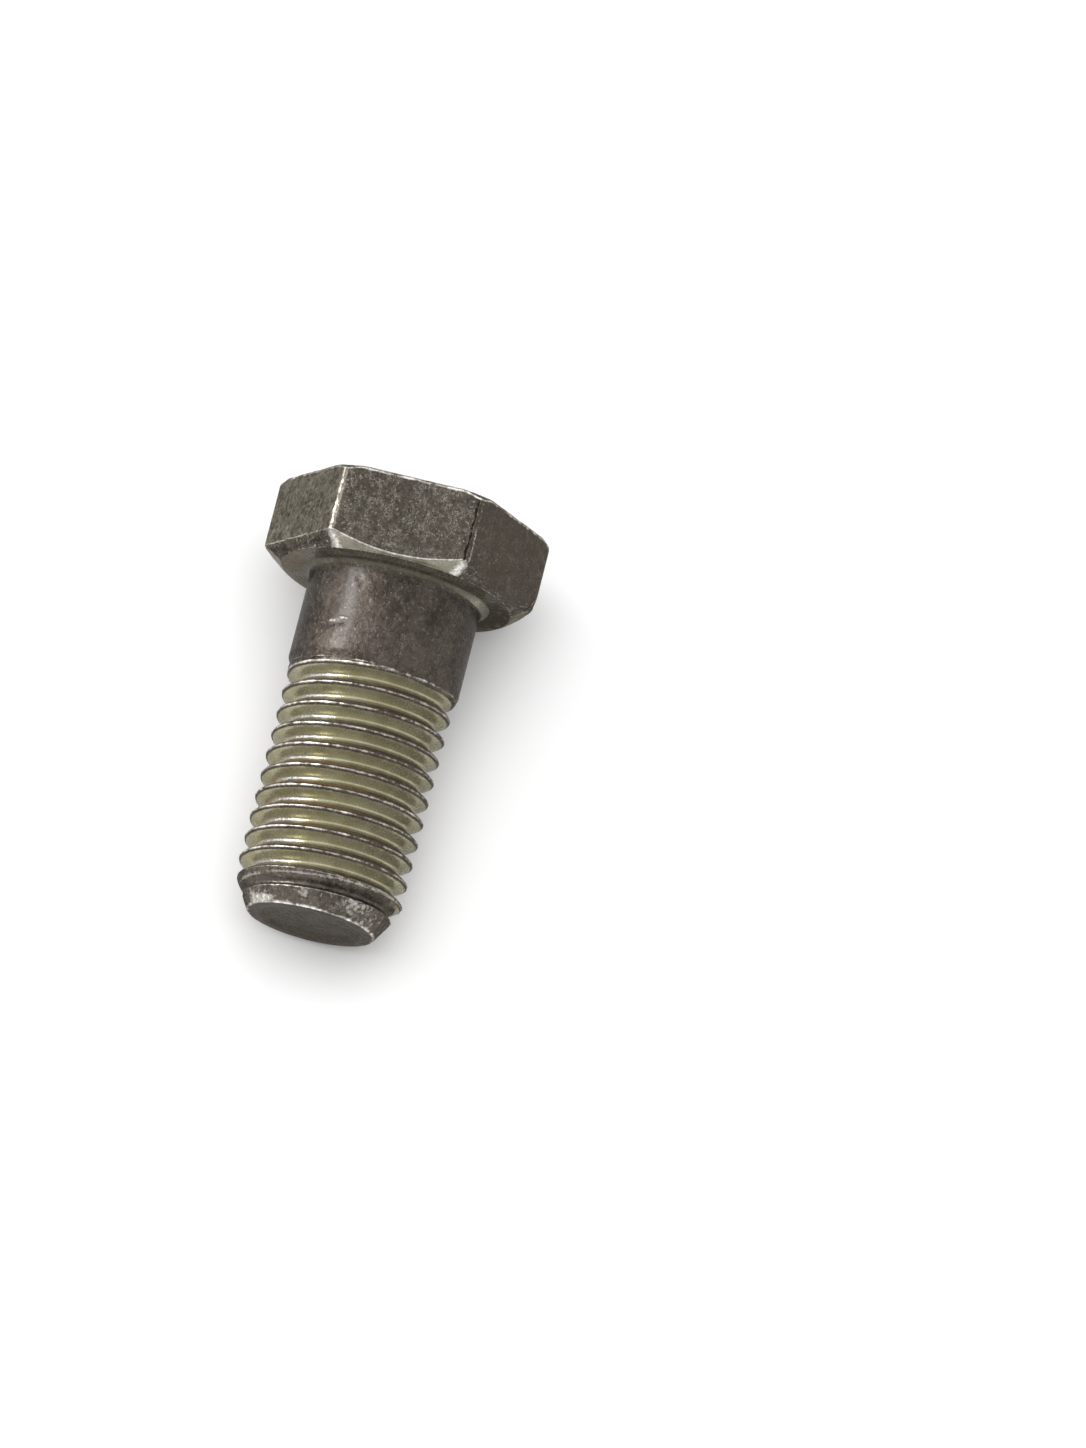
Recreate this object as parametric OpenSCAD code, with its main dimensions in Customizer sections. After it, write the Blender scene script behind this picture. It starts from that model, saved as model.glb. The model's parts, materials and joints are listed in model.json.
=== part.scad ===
// Pivot bolt: hexagon head, plain bearing shank and right-hand thread, forged and turned in one piece.
// It lies on its side as it comes to rest: on the lower flat of the head and on a thread crest near the tip.

/* [Head] */
// Width over two opposite flats
head_across_flats = 16.7; // [13:0.05:24]
// Height of the head along the axis
head_height = 5.8; // [4:0.1:12]
// How far the six sharp corners are cut back
corner_trim = 0.12; // [0.05:0.01:0.5]
// Slope of both chamfers, measured from the end faces
chamfer_angle = 32; // [20:1:45]
// How far the bearing face ends inside the flats
bearing_inset = 0.25; // [0.1:0.05:1.5]
// How far the top face ends inside the trimmed corners
top_cut = 0.6; // [0.2:0.05:2.5]

/* [Shank] */
// Diameter of the plain bearing length
shank_diameter = 12; // [8:0.1:14]
// From the bearing face to where the thread begins
shank_length = 6.6; // [3:0.1:20]
// Radius of the fillet below the head
fillet_radius = 0.6; // [0.2:0.1:1.2]
// Length of the taper from the shank to the thread
shank_taper = 0.2; // [0.1:0.05:1]

/* [Thread] */
// Length below the head, tip included
bolt_length = 24.4; // [18:0.1:60]
// Diameter over the crests
thread_diameter = 11.66; // [8:0.01:14]
// Distance from crest to crest
thread_pitch = 1.5; // [1:0.05:2]
// Angle between the two flanks
thread_angle = 60; // [50:1:65]
// Width of the flat on the crest
crest_width = 0.2; // [0.1:0.01:0.4]
// Width of the flat in the root
root_width = 0.24; // [0.1:0.01:0.4]
// Turns over which the groove reaches its full depth
runout_turns = 0.8; // [0.3:0.1:2]
// Where the groove begins around the axis, from straight down
start_angle = 224; // [0:1:359]
// Sections in one turn of the groove
turn_steps = 36; // [18:2:40]

/* [Tip] */
// Length of the cone at the tip
tip_length = 2.3; // [1:0.1:5]
// How far the cone drops below the crests
tip_drop = 1.38; // [0.8:0.01:2.5]
// Width of the level rim round the end face
rim_width = 0.9; // [0.4:0.1:2]
// Depth of the dish in the end face
dish_depth = 0.2; // [0.05:0.05:0.6]
// Slope of the dish's wall
dish_angle = 25; // [10:1:60]

/* [Hidden] */
$fn = 96;
fillet_steps = 8;
flat_radius = head_across_flats / 2;
corner_radius = head_across_flats / sqrt(3);
trim_radius = corner_radius - corner_trim;
bearing_radius = flat_radius - bearing_inset;
top_radius = trim_radius - top_cut;
chamfer_slope = tan(chamfer_angle);

shank_radius = shank_diameter / 2;
crest_radius = thread_diameter / 2;
flank_slope = tan(thread_angle / 2);
thread_depth = (thread_pitch - crest_width - root_width) / (2 * flank_slope);
root_radius = crest_radius - thread_depth;
tip_radius = crest_radius - tip_drop;
cone_start = bolt_length - tip_length;
dish_radius = tip_radius - rim_width;

// The cutter stands a little proud of the crests, by half of what its neighbouring turn leaves free.
cutter_over = crest_width / (4 * flank_slope);
cutter_half = (thread_pitch - crest_width) / 2 + cutter_over * flank_slope;
cutter_turns = (bolt_length + thread_pitch / 2 - shank_length) / thread_pitch;
cutter_steps = ceil(cutter_turns * turn_steps);

// The heel is the edge of the lower flat next to the bearing face, the toe the last full crest below the axis.
heel_z = -bearing_inset * chamfer_slope;
first_crest = shank_length - thread_pitch * start_angle / 360 + thread_pitch / 2;
crest_reach = cone_start - crest_width / 2 - first_crest;
toe_z = first_crest + thread_pitch * floor(crest_reach / thread_pitch) + crest_width / 2;
tilt = atan((flat_radius - crest_radius) / (toe_z - heel_z));
axis_height = flat_radius * cos(tilt) + heel_z * sin(tilt);
front_x = bolt_length * cos(tilt) + tip_radius * sin(tilt);
back_x = -head_height * cos(tilt) - min(top_radius, flat_radius) * sin(tilt);
middle_x = (front_x + back_x) / 2;

// Outline of the head as turned: both chamfers and the trimmed corners.
head_outline = [
    [0, -head_height],
    [top_radius, -head_height],
    [trim_radius, -head_height + (trim_radius - top_radius) * chamfer_slope],
    [trim_radius, -(trim_radius - bearing_radius) * chamfer_slope],
    [bearing_radius, 0],
    [0, 0]
];

// Outline of the shank and of the blank that the thread is cut in.
fillet_points = [
    for (i = [0:fillet_steps])
        let (a = 90 * i / fillet_steps)
        [shank_radius + fillet_radius * (1 - sin(a)), fillet_radius * (1 - cos(a))]
];
shank_outline = concat(
    [[0, -head_height / 2], [shank_radius + fillet_radius, -head_height / 2]],
    fillet_points,
    [
        [shank_radius, shank_length - shank_taper],
        [crest_radius, shank_length],
        [crest_radius, cone_start],
        [tip_radius, bolt_length],
        [dish_radius, bolt_length],
        [dish_radius - dish_depth / tan(dish_angle), bolt_length - dish_depth],
        [0, bolt_length - dish_depth]
    ]
);

// One section of the groove: its four corners at a step along the helix.
function groove_section(i) =
    let (
        turn = i / turn_steps,
        a = start_angle + 360 * turn,
        z = shank_length + thread_pitch * turn,
        lift = (thread_depth + cutter_over) * max(0, 1 - turn / runout_turns),
        outer = crest_radius + cutter_over + lift,
        inner = root_radius + lift
    )
    [
        [outer * cos(a), outer * sin(a), z - cutter_half],
        [inner * cos(a), inner * sin(a), z - root_width / 2],
        [inner * cos(a), inner * sin(a), z + root_width / 2],
        [outer * cos(a), outer * sin(a), z + cutter_half]
    ];

module thread_groove() {
    points = [for (i = [0:cutter_steps]) each groove_section(i)];
    last = 4 * cutter_steps;
    sides = [
        for (i = [0:cutter_steps - 1], k = [0:3])
            let (a = 4 * i + k, b = 4 * i + (k + 1) % 4)
            each [[a, a + 4, b + 4], [a, b + 4, b]]
    ];
    ends = [[0, 1, 2], [0, 2, 3], [last + 2, last + 1, last], [last + 3, last + 2, last]];
    polyhedron(points, concat(sides, ends), convexity = 20);
}

module head() {
    intersection() {
        rotate([0, 0, 30])
            translate([0, 0, -head_height])
                cylinder(h = head_height, r = corner_radius, $fn = 6);
        rotate_extrude()
            polygon(head_outline);
    }
}

module threaded_shank() {
    difference() {
        rotate_extrude()
            polygon(shank_outline);
        thread_groove();
    }
}

module pivot_bolt() {
    color("#7d7a6f")
        translate([-middle_x, 0, axis_height])
            rotate([0, 90 + tilt, 0])
                union() {
                    head();
                    threaded_shank();
                }
}

pivot_bolt();
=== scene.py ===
import json
import math

import bmesh
import bpy
import numpy as np
from mathutils import Matrix, Vector, noise


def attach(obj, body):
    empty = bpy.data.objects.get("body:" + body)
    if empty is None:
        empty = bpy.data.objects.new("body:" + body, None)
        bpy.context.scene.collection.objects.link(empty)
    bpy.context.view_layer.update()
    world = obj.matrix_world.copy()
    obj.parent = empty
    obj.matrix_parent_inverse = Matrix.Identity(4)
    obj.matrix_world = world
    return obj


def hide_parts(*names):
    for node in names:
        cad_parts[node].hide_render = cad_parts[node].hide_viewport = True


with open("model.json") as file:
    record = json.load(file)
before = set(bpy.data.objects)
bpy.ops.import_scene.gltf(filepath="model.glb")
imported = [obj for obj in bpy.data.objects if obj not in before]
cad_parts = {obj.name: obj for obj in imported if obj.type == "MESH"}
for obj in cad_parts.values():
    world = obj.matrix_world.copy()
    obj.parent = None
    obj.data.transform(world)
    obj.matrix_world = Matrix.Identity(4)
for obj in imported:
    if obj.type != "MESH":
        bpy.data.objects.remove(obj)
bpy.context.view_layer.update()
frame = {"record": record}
scene = bpy.context.scene
print("frame loaded")

# The bolt's own axes, in millimetres: z runs from the bearing face to the tip, x points down, y to the right.
mounts = {m["name"]: m for m in frame["record"]["mounts"]}
axisDir = Vector(mounts["shank"]["axis"]).normalized()
shankMiddle = 0.0035                                   # from the bearing face to the shank mount
boltOrigin = Vector(mounts["shank"]["pos_m"]) - axisDir * shankMiddle
tilt = math.atan2(-axisDir.z, axisDir.x)
lying = Matrix.Translation(boltOrigin) @ Matrix.Rotation(math.pi / 2 + tilt, 4, "Y") @ Matrix.Scale(0.001, 4)

columns = 240                                          # columns of mesh round the bolt

headShape = {
    "acrossFlats": 16.7,
    "height": 5.8,
    "cornerTrim": 0.12,
    "chamferAngle": 32.0,
    "bearingInset": 0.25,
    "topCut": 0.6,
    "topBreak": 0.13,
    "edgeRound": 0.1,
    "cornerSoft": 0.05,
    "cornerCluster": 0.75,
    "poleRadius": 0.35,
    "topRows": 11,
    "chamferRows": 3,
    "flatRows": 40,
    "bearingRows": 4,
    "turnRows": 5,                                     # rows on the bearing face that turn to even columns
}

shankShape = {
    "radius": 6.0,
    "length": 6.6,
    "taper": 0.6,
    "taperEnd": 7.05,
    "fillet": 0.6,
    "filletRows": 7,
    "forgedEnd": 0.5,
    "plainEnd": 5.7,
    "rows": 34,
    "ringRows": 14,
}

threadShape = {
    "crestRadius": 5.83,
    "pitch": 1.5,
    "angle": 60.0,
    "crestWidth": 0.2,
    "rootWidth": 0.24,
    "runoutTurns": 0.8,
    "startAngle": 224.0,
    "crestSoft": 0.34,
    "rootSoft": 0.2,
    "cluster": 0.45,
    "rowsPerPitch": 18,
    "turns": 12.25,
}

tipShape = {
    "boltLength": 24.4,
    "coneLength": 2.3,
    "coneDrop": 1.38,
    "rimWidth": 0.9,
    "dishDepth": 0.2,
    "dishAngle": 25.0,
    "edgeRound": 0.12,
    "squashFrom": 22.9,
    "squashRange": 1.3,
    "lastRing": 24.2,
    "poleRadius": 0.25,
    "rimRows": 3,
    "floorRows": 8,
}

flankSlope = math.tan(math.radians(threadShape["angle"] / 2))
threadDepth = (threadShape["pitch"] - threadShape["crestWidth"] - threadShape["rootWidth"]) / (2 * flankSlope)
cutterOver = threadShape["crestWidth"] / (4 * flankSlope)
rootRadius = threadShape["crestRadius"] - threadDepth
coneStart = tipShape["boltLength"] - tipShape["coneLength"]
coneSlope = tipShape["coneDrop"] / tipShape["coneLength"]
tipRadius = threadShape["crestRadius"] - tipShape["coneDrop"]
startAngle = math.radians(threadShape["startAngle"])
flatRadius = headShape["acrossFlats"] / 2
trimRadius = headShape["acrossFlats"] / math.sqrt(3) - headShape["cornerTrim"]
chamferSlope = math.tan(math.radians(headShape["chamferAngle"]))
bearingRadius = flatRadius - headShape["bearingInset"]
topRadius = trimRadius - headShape["topCut"]
filletEdge = shankShape["radius"] + shankShape["fillet"]


# Shared node helpers


def feed(tree, socket, value):
    if isinstance(value, bpy.types.NodeSocket):
        tree.links.new(value, socket)
    else:
        socket.default_value = value


def put(tree, kind, inputs, **settings):
    node = tree.nodes.new(kind)
    for name, value in settings.items():
        setattr(node, name, value)
    for name, value in inputs.items():
        feed(tree, node.inputs[name], value)
    return node


def calc(tree, operation, *values):
    return put(tree, "ShaderNodeMath", dict(enumerate(values)), operation=operation).outputs[0]


# Thread: a helical ribbon of one pitch, laid turn on turn by a node tree


def buildThreadTree():
    tree = bpy.data.node_groups.new("threadRibbon", "GeometryNodeTree")
    face = tree.interface
    floatInputs = ["Turns", "Pitch", "Start Angle", "Start", "Crest Radius", "Root Radius", "Flank Slope",
                   "Root Width", "Cutter Lift", "Runout Turns", "Shank Radius", "Taper", "Taper End",
                   "Cone Start", "Cone Slope", "Crest Soft", "Root Soft", "Cluster", "Squash From",
                   "Squash Range"]
    for name in floatInputs:
        face.new_socket(name=name, in_out="INPUT", socket_type="NodeSocketFloat")
    for name in ("Steps", "Rows"):
        face.new_socket(name=name, in_out="INPUT", socket_type="NodeSocketInt")
    face.new_socket(name="Material", in_out="INPUT", socket_type="NodeSocketMaterial")
    face.new_socket(name="Geometry", in_out="OUTPUT", socket_type="NodeSocketGeometry")
    given = tree.nodes.new("NodeGroupInput").outputs
    result = tree.nodes.new("NodeGroupOutput")

    def do(operation, *values):
        return calc(tree, operation, *values)

    grid = put(tree, "GeometryNodeMeshGrid", {
        "Size X": 1.0, "Size Y": 1.0,
        "Vertices X": do("ADD", given["Steps"], 1.0), "Vertices Y": do("ADD", given["Rows"], 1.0)})
    place = put(tree, "ShaderNodeSeparateXYZ", {0: tree.nodes.new("GeometryNodeInputPosition").outputs[0]})

    # turn along the helix, place across one pitch with closer rows at crest and root, and their height
    turn = do("MULTIPLY", do("ADD", place.outputs["X"], 0.5), given["Turns"])
    helix = do("MULTIPLY_ADD", turn, given["Pitch"], given["Start"])
    wave = do("SINE", do("MULTIPLY", place.outputs["Y"], 4 * math.pi))
    closer = do("MULTIPLY", do("DIVIDE", wave, 4 * math.pi), given["Cluster"])
    across = do("SUBTRACT", place.outputs["Y"], closer)
    lattice = do("MULTIPLY_ADD", across, given["Pitch"], helix)
    past = do("MAXIMUM", do("SUBTRACT", lattice, given["Squash From"]), 0.0)
    decay = do("EXPONENT", do("DIVIDE", do("MULTIPLY", past, -1.0), given["Squash Range"]))
    squeezed = do("MULTIPLY", do("SUBTRACT", 1.0, decay), given["Squash Range"])
    height = do("ADD", do("MINIMUM", lattice, given["Squash From"]), squeezed)

    # distance from the middle of the nearest groove, and that groove's depth
    away = do("SUBTRACT", height, helix)
    halfPitch = do("MULTIPLY", given["Pitch"], 0.5)
    nudged = do("ADD", away, 0.0001)                   # so both edges of the ribbon fall on one turn
    wrapped = do("WRAP", nudged, halfPitch, do("MULTIPLY", halfPitch, -1.0))
    ownTurn = do("ADD", turn, do("DIVIDE", do("SUBTRACT", away, wrapped), given["Pitch"]))
    fade = do("MAXIMUM", do("SUBTRACT", 1.0, do("DIVIDE", ownTurn, given["Runout Turns"])), 0.0)
    lift = do("MULTIPLY", fade, given["Cutter Lift"])
    beside = do("SUBTRACT", do("ABSOLUTE", wrapped), do("MULTIPLY", given["Root Width"], 0.5))
    flank = do("SMOOTH_MAX", do("DIVIDE", beside, given["Flank Slope"]), 0.0, given["Root Soft"])
    groove = do("ADD", do("ADD", given["Root Radius"], lift), flank)

    # the turned blank: shank, taper, crests and the cone at the tip
    taper = put(tree, "ShaderNodeMapRange", {
        "Value": height,
        "From Min": do("SUBTRACT", given["Taper End"], given["Taper"]), "From Max": given["Taper End"],
        "To Min": given["Shank Radius"], "To Max": given["Crest Radius"]})
    coneFall = do("MULTIPLY", do("SUBTRACT", height, given["Cone Start"]), given["Cone Slope"])
    cone = do("SUBTRACT", given["Crest Radius"], coneFall)
    blank = do("SMOOTH_MIN", taper.outputs[0], cone, 0.1)
    radius = do("SMOOTH_MIN", blank, groove, given["Crest Soft"])

    angle = do("MULTIPLY_ADD", turn, 2 * math.pi, given["Start Angle"])
    joined = put(tree, "ShaderNodeCombineXYZ", {
        "X": do("MULTIPLY", radius, do("COSINE", angle)),
        "Y": do("MULTIPLY", radius, do("SINE", angle)),
        "Z": height})
    moved = put(tree, "GeometryNodeSetPosition", {
        "Geometry": grid.outputs["Mesh"], "Position": joined.outputs[0]})
    real = put(tree, "GeometryNodeRealizeInstances", {0: moved.outputs[0]})
    painted = put(tree, "GeometryNodeSetMaterial", {
        "Geometry": real.outputs[0], "Material": given["Material"]})
    tree.links.new(painted.outputs[0], result.inputs[0])
    return tree


def makeThread(material):
    steps = round(threadShape["turns"] * columns)
    rows = threadShape["rowsPerPitch"]
    values = {
        "Turns": steps / columns,
        "Pitch": threadShape["pitch"],
        "Start Angle": startAngle,
        "Start": shankShape["length"],
        "Crest Radius": threadShape["crestRadius"],
        "Root Radius": rootRadius,
        "Flank Slope": flankSlope,
        "Root Width": threadShape["rootWidth"],
        "Cutter Lift": threadDepth + cutterOver,
        "Runout Turns": threadShape["runoutTurns"],
        "Shank Radius": shankShape["radius"],
        "Taper": shankShape["taper"],
        "Taper End": shankShape["taperEnd"],
        "Cone Start": coneStart,
        "Cone Slope": coneSlope,
        "Crest Soft": threadShape["crestSoft"],
        "Root Soft": threadShape["rootSoft"],
        "Cluster": threadShape["cluster"],
        "Squash From": tipShape["squashFrom"],
        "Squash Range": tipShape["squashRange"],
        "Steps": steps,
        "Rows": rows,
        "Material": material,
    }
    tree = buildThreadTree()
    holder = bpy.data.objects.new("threadHolder", bpy.data.meshes.new("threadHolder"))
    scene.collection.objects.link(holder)
    modifier = holder.modifiers.new("thread", "NODES")
    modifier.node_group = tree
    for item in tree.interface.items_tree:
        if item.in_out == "INPUT":
            modifier[item.identifier] = values[item.name]
    graph = bpy.context.evaluated_depsgraph_get()
    mesh = bpy.data.meshes.new_from_object(holder.evaluated_get(graph))
    points = readPoints(mesh)
    faces = [tuple(f.vertices) for f in mesh.polygons]
    holder.modifiers.remove(modifier)
    bpy.data.objects.remove(holder)
    bpy.data.meshes.remove(mesh)
    return points, faces, steps, rows


# Head, shank and tip: rings of columns along the outline, joined to the thread


def readPoints(mesh):
    flat = np.empty(len(mesh.vertices) * 3)
    mesh.vertices.foreach_get("co", flat)
    return flat.reshape(-1, 3)


def softMin(a, b, soft):
    h = np.maximum(soft - np.abs(a - b), 0.0) / soft
    return np.minimum(a, b) - h ** 3 * soft / 6


def headColumns():
    # angles of the columns on the head, closer together at the six corners
    side = columns // 6
    s = np.linspace(-1, 1, side + 1)[:-1]
    bend = headShape["cornerCluster"]
    spread = bend * np.sin(s * math.pi / 2) + (1 - bend) * s
    local = np.arctan(math.tan(math.pi / 6) * spread)
    wave = np.concatenate([local + math.pi / 3 * k for k in range(12)])
    first = int(round((threadShape["startAngle"] + 30) / 360 * columns))
    return wave[first:first + columns]


def headRadius(angle):
    local = (angle + math.pi / 6) % (math.pi / 3) - math.pi / 6
    return softMin(flatRadius / np.cos(local), np.full_like(angle, trimRadius), headShape["cornerSoft"])


def topDrop(wide):
    # the top chamfer cuts only the corners, and the rest of the edge is broken a little
    return np.maximum((wide - topRadius) * chamferSlope, headShape["topBreak"])


def roundCorner(before, corner, after, reach, count=5):
    # points of a rounded corner, for all columns at once
    ends = []
    for other in (before, after):
        side = other - corner
        length = np.linalg.norm(side, axis=1, keepdims=True)
        ends.append(corner + side / length * np.minimum(reach, length * 0.45))
    first, last = ends
    steps = np.linspace(0, 1, count)
    return [first * (1 - t) ** 2 + corner * 2 * t * (1 - t) + last * t ** 2 for t in steps]


def between(a, b, count):
    return [a + (b - a) * t for t in np.linspace(0, 1, count + 2)[1:-1]]


def pair(r, z, like):
    return np.stack([np.full_like(like, r) if np.isscalar(r) else r,
                     np.full_like(like, z) if np.isscalar(z) else z], 1)


def headOutline(angle):
    wide = headRadius(angle)
    topZ = -headShape["height"]
    centre = pair(headShape["poleRadius"], topZ, wide)
    topEdge = pair(np.minimum(topRadius, wide - headShape["topBreak"]), topZ, wide)
    flatTop = pair(wide, topZ + topDrop(wide), wide)
    flatLow = pair(wide, -(wide - bearingRadius) * chamferSlope, wide)
    bearing = pair(bearingRadius, 0.0, wide)
    filletOut = pair(filletEdge, 0.0, wide)
    reach = headShape["edgeRound"]
    topBend = roundCorner(centre, topEdge, flatTop, reach)
    shoulder = roundCorner(topEdge, flatTop, flatLow, reach)
    lowBend = roundCorner(flatTop, flatLow, bearing, reach)
    bearingBend = roundCorner(flatLow, bearing, filletOut, reach)
    rows = [centre] + between(centre, topBend[0], headShape["topRows"]) + topBend
    rows += between(topBend[-1], shoulder[0], headShape["chamferRows"]) + shoulder
    rows += between(shoulder[-1], lowBend[0], headShape["flatRows"]) + lowBend
    rows += between(lowBend[-1], bearingBend[0], headShape["chamferRows"]) + bearingBend
    rows += between(bearingBend[-1], filletOut, headShape["bearingRows"]) + [filletOut]
    return rows


def shankOutline(like):
    r, f = shankShape["radius"], shankShape["fillet"]
    rows = []
    for a in np.linspace(0, math.pi / 2, shankShape["filletRows"] + 1)[1:]:
        rows.append(pair(r + f * (1 - math.sin(a)), f * (1 - math.cos(a)), like))
    for z in np.linspace(f, shankShape["plainEnd"], shankShape["rows"] + 1)[1:]:
        rows.append(pair(r, float(z), like))
    return rows


def tipOutline(like):
    length = tipShape["boltLength"]
    floorZ = length - tipShape["dishDepth"]
    last = tipShape["lastRing"]
    dishRadius = tipRadius - tipShape["rimWidth"]
    floorRadius = dishRadius - tipShape["dishDepth"] / math.tan(math.radians(tipShape["dishAngle"]))
    first = pair(threadShape["crestRadius"] - (last - coneStart) * coneSlope, last, like)
    rim = pair(tipRadius, length, like)
    lip = pair(dishRadius, length, like)
    low = pair(floorRadius, floorZ, like)
    centre = pair(tipShape["poleRadius"], floorZ, like)
    reach = tipShape["edgeRound"]
    rimBend = roundCorner(first, rim, lip, reach)
    lipBend = roundCorner(rim, lip, low, reach * 1.5)
    lowBend = roundCorner(lip, low, centre, reach * 2)
    rows = [first] + rimBend + between(rimBend[-1], lipBend[0], tipShape["rimRows"])
    rows += lipBend + between(lipBend[-1], lowBend[0], 1)
    rows += lowBend + between(lowBend[-1], centre, tipShape["floorRows"]) + [centre]
    return rows


def ringPoints(outline, angle):
    return np.stack([outline[:, 0] * np.cos(angle), outline[:, 0] * np.sin(angle), outline[:, 1]], 1)


def bridge(first, second):
    # quads between two rings of vertex numbers
    n = len(first)
    return [(first[j], first[(j + 1) % n], second[(j + 1) % n], second[j]) for j in range(n)]


def blankRadius(z):
    crest = threadShape["crestRadius"]
    shank = shankShape["radius"]
    end = shankShape["taperEnd"]
    radius = np.interp(z, [end - shankShape["taper"], end], [shank, crest])
    return radius - np.maximum(z - coneStart, 0) * coneSlope


def zipSides(left, right, height):
    # triangles between two lines of vertices, by rising height
    out = []
    i = j = 0
    while i < len(left) - 1 or j < len(right) - 1:
        if j == len(right) - 1 or i < len(left) - 1 and height[left[i + 1]] < height[right[j + 1]]:
            out.append((left[i], right[j], left[i + 1]))
            i += 1
        else:
            out.append((left[i], right[j], right[j + 1]))
            j += 1
    return out


def makeBlank(material):
    even = startAngle + np.arange(columns) * 2 * math.pi / columns
    headAngle = headColumns()
    headRows = headOutline(headAngle)
    parts, faces = [], []

    def add(points):
        # the numbers of the new vertices
        first = sum(len(part) for part in parts)
        parts.append(points)
        return list(range(first, first + len(points)))

    # the columns turn from the head's to even ones on the bearing face
    rings = []
    turnRows = headShape["turnRows"]
    for i, row in enumerate(headRows):
        mix = min(max((i + 1 + turnRows - len(headRows)) / turnRows, 0.0), 1.0)
        rings.append(add(ringPoints(row, headAngle * (1 - mix) + even * mix)))
    rings += [add(ringPoints(row, even)) for row in shankOutline(even)]
    for a, b in zip(rings, rings[1:]):
        faces += bridge(a, b)
    topPole = add(np.array([[0.0, 0.0, -headShape["height"]]]))[0]
    faces += [(topPole, rings[0][(j + 1) % columns], rings[0][j]) for j in range(columns)]

    threadPoints, threadFaces, steps, rows = makeThread(material)
    base = add(threadPoints)[0]
    faces += [tuple(base + v for v in f) for f in threadFaces]

    def ribbon(step, row):
        return base + step * (rows + 1) + row

    # the shank's last ring meets the first turn, by rows that keep the step down to the thread
    strip = [rings[-1]]
    plainEnd = shankShape["plainEnd"]
    meet = threadPoints[[j * (rows + 1) for j in range(columns)], 2]
    for k in range(1, shankShape["ringRows"] + 1):
        z = plainEnd + (meet - plainEnd) * k / (shankShape["ringRows"] + 1)
        strip.append(add(ringPoints(np.stack([blankRadius(z), z], 1), even)))
    strip.append([ribbon(j, 0) for j in range(columns)])
    for a, b in zip(strip, strip[1:]):
        faces += [(a[j], a[j + 1], b[j + 1], b[j]) for j in range(columns - 1)]
    left = [row[-1] for row in strip]
    right = [row[0] for row in strip] + [ribbon(0, k) for k in range(1, rows + 1)]
    faces += zipSides(left, right, np.concatenate(parts)[:, 2])

    # the last turn meets the tip
    tipRings = [add(ringPoints(row, even)) for row in tipOutline(even)]
    for a, b in zip(tipRings, tipRings[1:]):
        faces += bridge(a, b)
    endPole = add(np.array([[0.0, 0.0, tipShape["boltLength"] - tipShape["dishDepth"]]]))[0]
    faces += [(tipRings[-1][j], tipRings[-1][(j + 1) % columns], endPole) for j in range(columns)]
    ring = tipRings[0]
    firstStep = steps - columns
    for step in range(firstStep + 1, steps):
        near, far = ring[step % columns], ring[(step + 1) % columns]
        faces.append((ribbon(step, rows), ribbon(step + 1, rows), far, near))
    near, far = ring[firstStep % columns], ring[(firstStep + 1) % columns]
    corner = ribbon(firstStep + 1, rows)
    closing = [far, near] + [ribbon(steps, k) for k in range(rows, 0, -1)] + [ribbon(firstStep, rows)]
    faces += [(corner, a, b) for a, b in zip(closing, closing[1:])]
    return np.concatenate(parts), faces


def weld(points, faces):
    mesh = bpy.data.meshes.new("pivotBolt")
    mesh.from_pydata([tuple(p) for p in points], [], faces)
    work = bmesh.new()
    work.from_mesh(mesh)
    bmesh.ops.remove_doubles(work, verts=work.verts, dist=0.002)
    bmesh.ops.recalc_face_normals(work, faces=work.faces)
    openEdges = sum(1 for e in work.edges if len(e.link_faces) != 2)
    triangles = sum(len(f.verts) - 2 for f in work.faces)
    volume = work.calc_volume(signed=True)
    work.to_mesh(mesh)
    work.free()
    print("bolt mesh:", triangles, "triangles,", openEdges, "open edges, volume", round(volume, 1), "mm3")
    return mesh


# Masks on the mesh: worn edges and painted highlights, plating, dark seams and painted shade, dirt and
# painted shade, and rust, all from the undented shape


def ease(value, low, high):
    t = np.clip((value - low) / (high - low), 0, 1)
    return t * t * (3 - 2 * t)


def bell(value, middle, width):
    return np.exp(-((value - middle) / width) ** 2)


def turnFrom(angle, degrees):
    return (np.degrees(angle) - degrees + 180) % 360 - 180


def around(angle, spots):
    # strength round the axis, from spots of middle angle, spread and strength
    return sum(strength * bell(turnFrom(angle, middle), 0, spread) for middle, spread, strength in spots)


def bumpy(points, scale, shift):
    moved = points * scale + shift
    return np.array([noise.noise(Vector(p)) for p in moved])


def lay(masks, name, amount):
    # a mask keeps the strongest of what is laid on it
    masks[name] = np.maximum(masks[name], amount)


def patchAt(angle, z, patch):
    # a soft patch of middle angle, spread, height, half height and strength
    middle, spread, height, halfTall, strength = patch
    return strength * bell(turnFrom(angle, middle), 0, spread) * bell(z, height, halfTall)


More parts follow.
